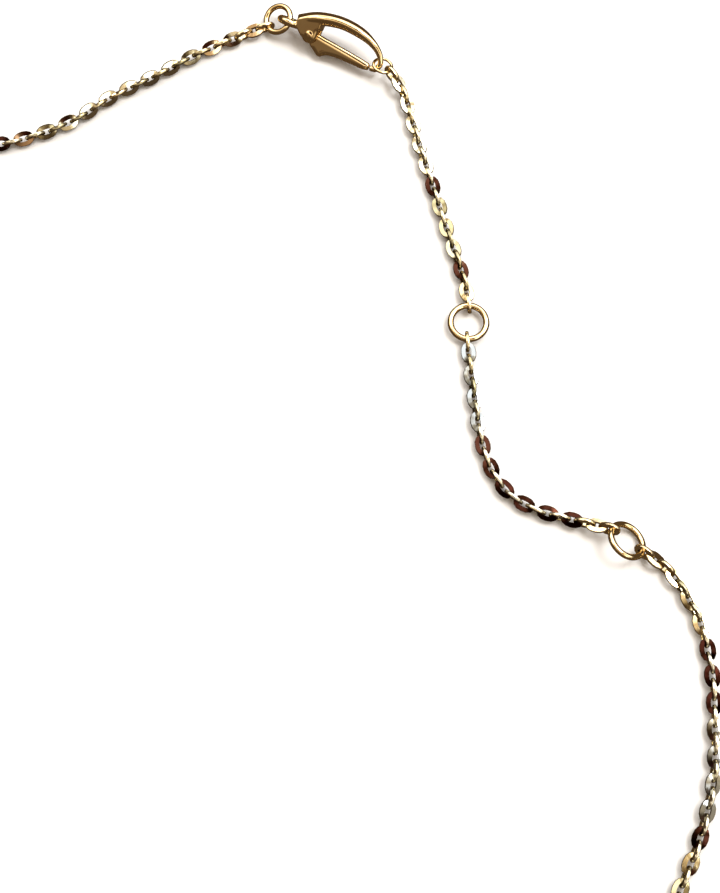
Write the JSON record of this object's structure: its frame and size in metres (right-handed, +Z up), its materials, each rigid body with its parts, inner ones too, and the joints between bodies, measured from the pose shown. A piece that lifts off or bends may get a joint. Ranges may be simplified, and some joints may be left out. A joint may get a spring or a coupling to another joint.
{
  "type": "station necklace",
  "caption": "Fine gold cable-chain necklace laid down in one closed loop, with bezel-set round stones, sizing rings and a sprung lobster clasp.",
  "frame": {"origin": "middle of the loop's box on the surface that the necklace lies on", "axes": "+Z up from the surface, +Y towards the clasp's end of the loop, +X towards the sizing rings' side"},
  "size_m": [0.1485, 0.1469, 0.0032],
  "materials": {
    "gold": "polished yellow gold",
    "lever_gold": "polished yellow gold",
    "chain_gold": "polished yellow gold, diamond-cut flat faces",
    "stone": "clear, faceted"
  },
  "bodies": {
    "necklace": {"clasp_body": "gold", "clasp_ring": "gold", "end_ring": "gold", "near_sizing_ring": "gold", "far_sizing_ring": "gold", "near_extender_chain": "chain_gold", "far_extender_chain": "chain_gold", "left_chain": "chain_gold", "left_chain_run": "chain_gold", "right_chain": "chain_gold", "right_chain_run": "chain_gold", "left_station_chain": "chain_gold", "right_station_chain": "chain_gold", "left_bezel": "gold", "centre_bezel": "gold", "right_bezel": "gold", "left_stone": "stone", "centre_stone": "stone", "right_stone": "stone"},
    "lever": {"clasp_lever": "lever_gold"}
  },
  "joints": [
    {"name": "lever_hinge", "type": "hinge", "parent": "necklace", "child": "lever", "pos_m": [0.04188, 0.07035, 0.0013], "axis": [-0.2451, -0.5186, 0.8192], "range_deg": [0, 10], "stiffness_Nm_per_rad": 0.0075, "springref_deg": -5.73}
  ]
}
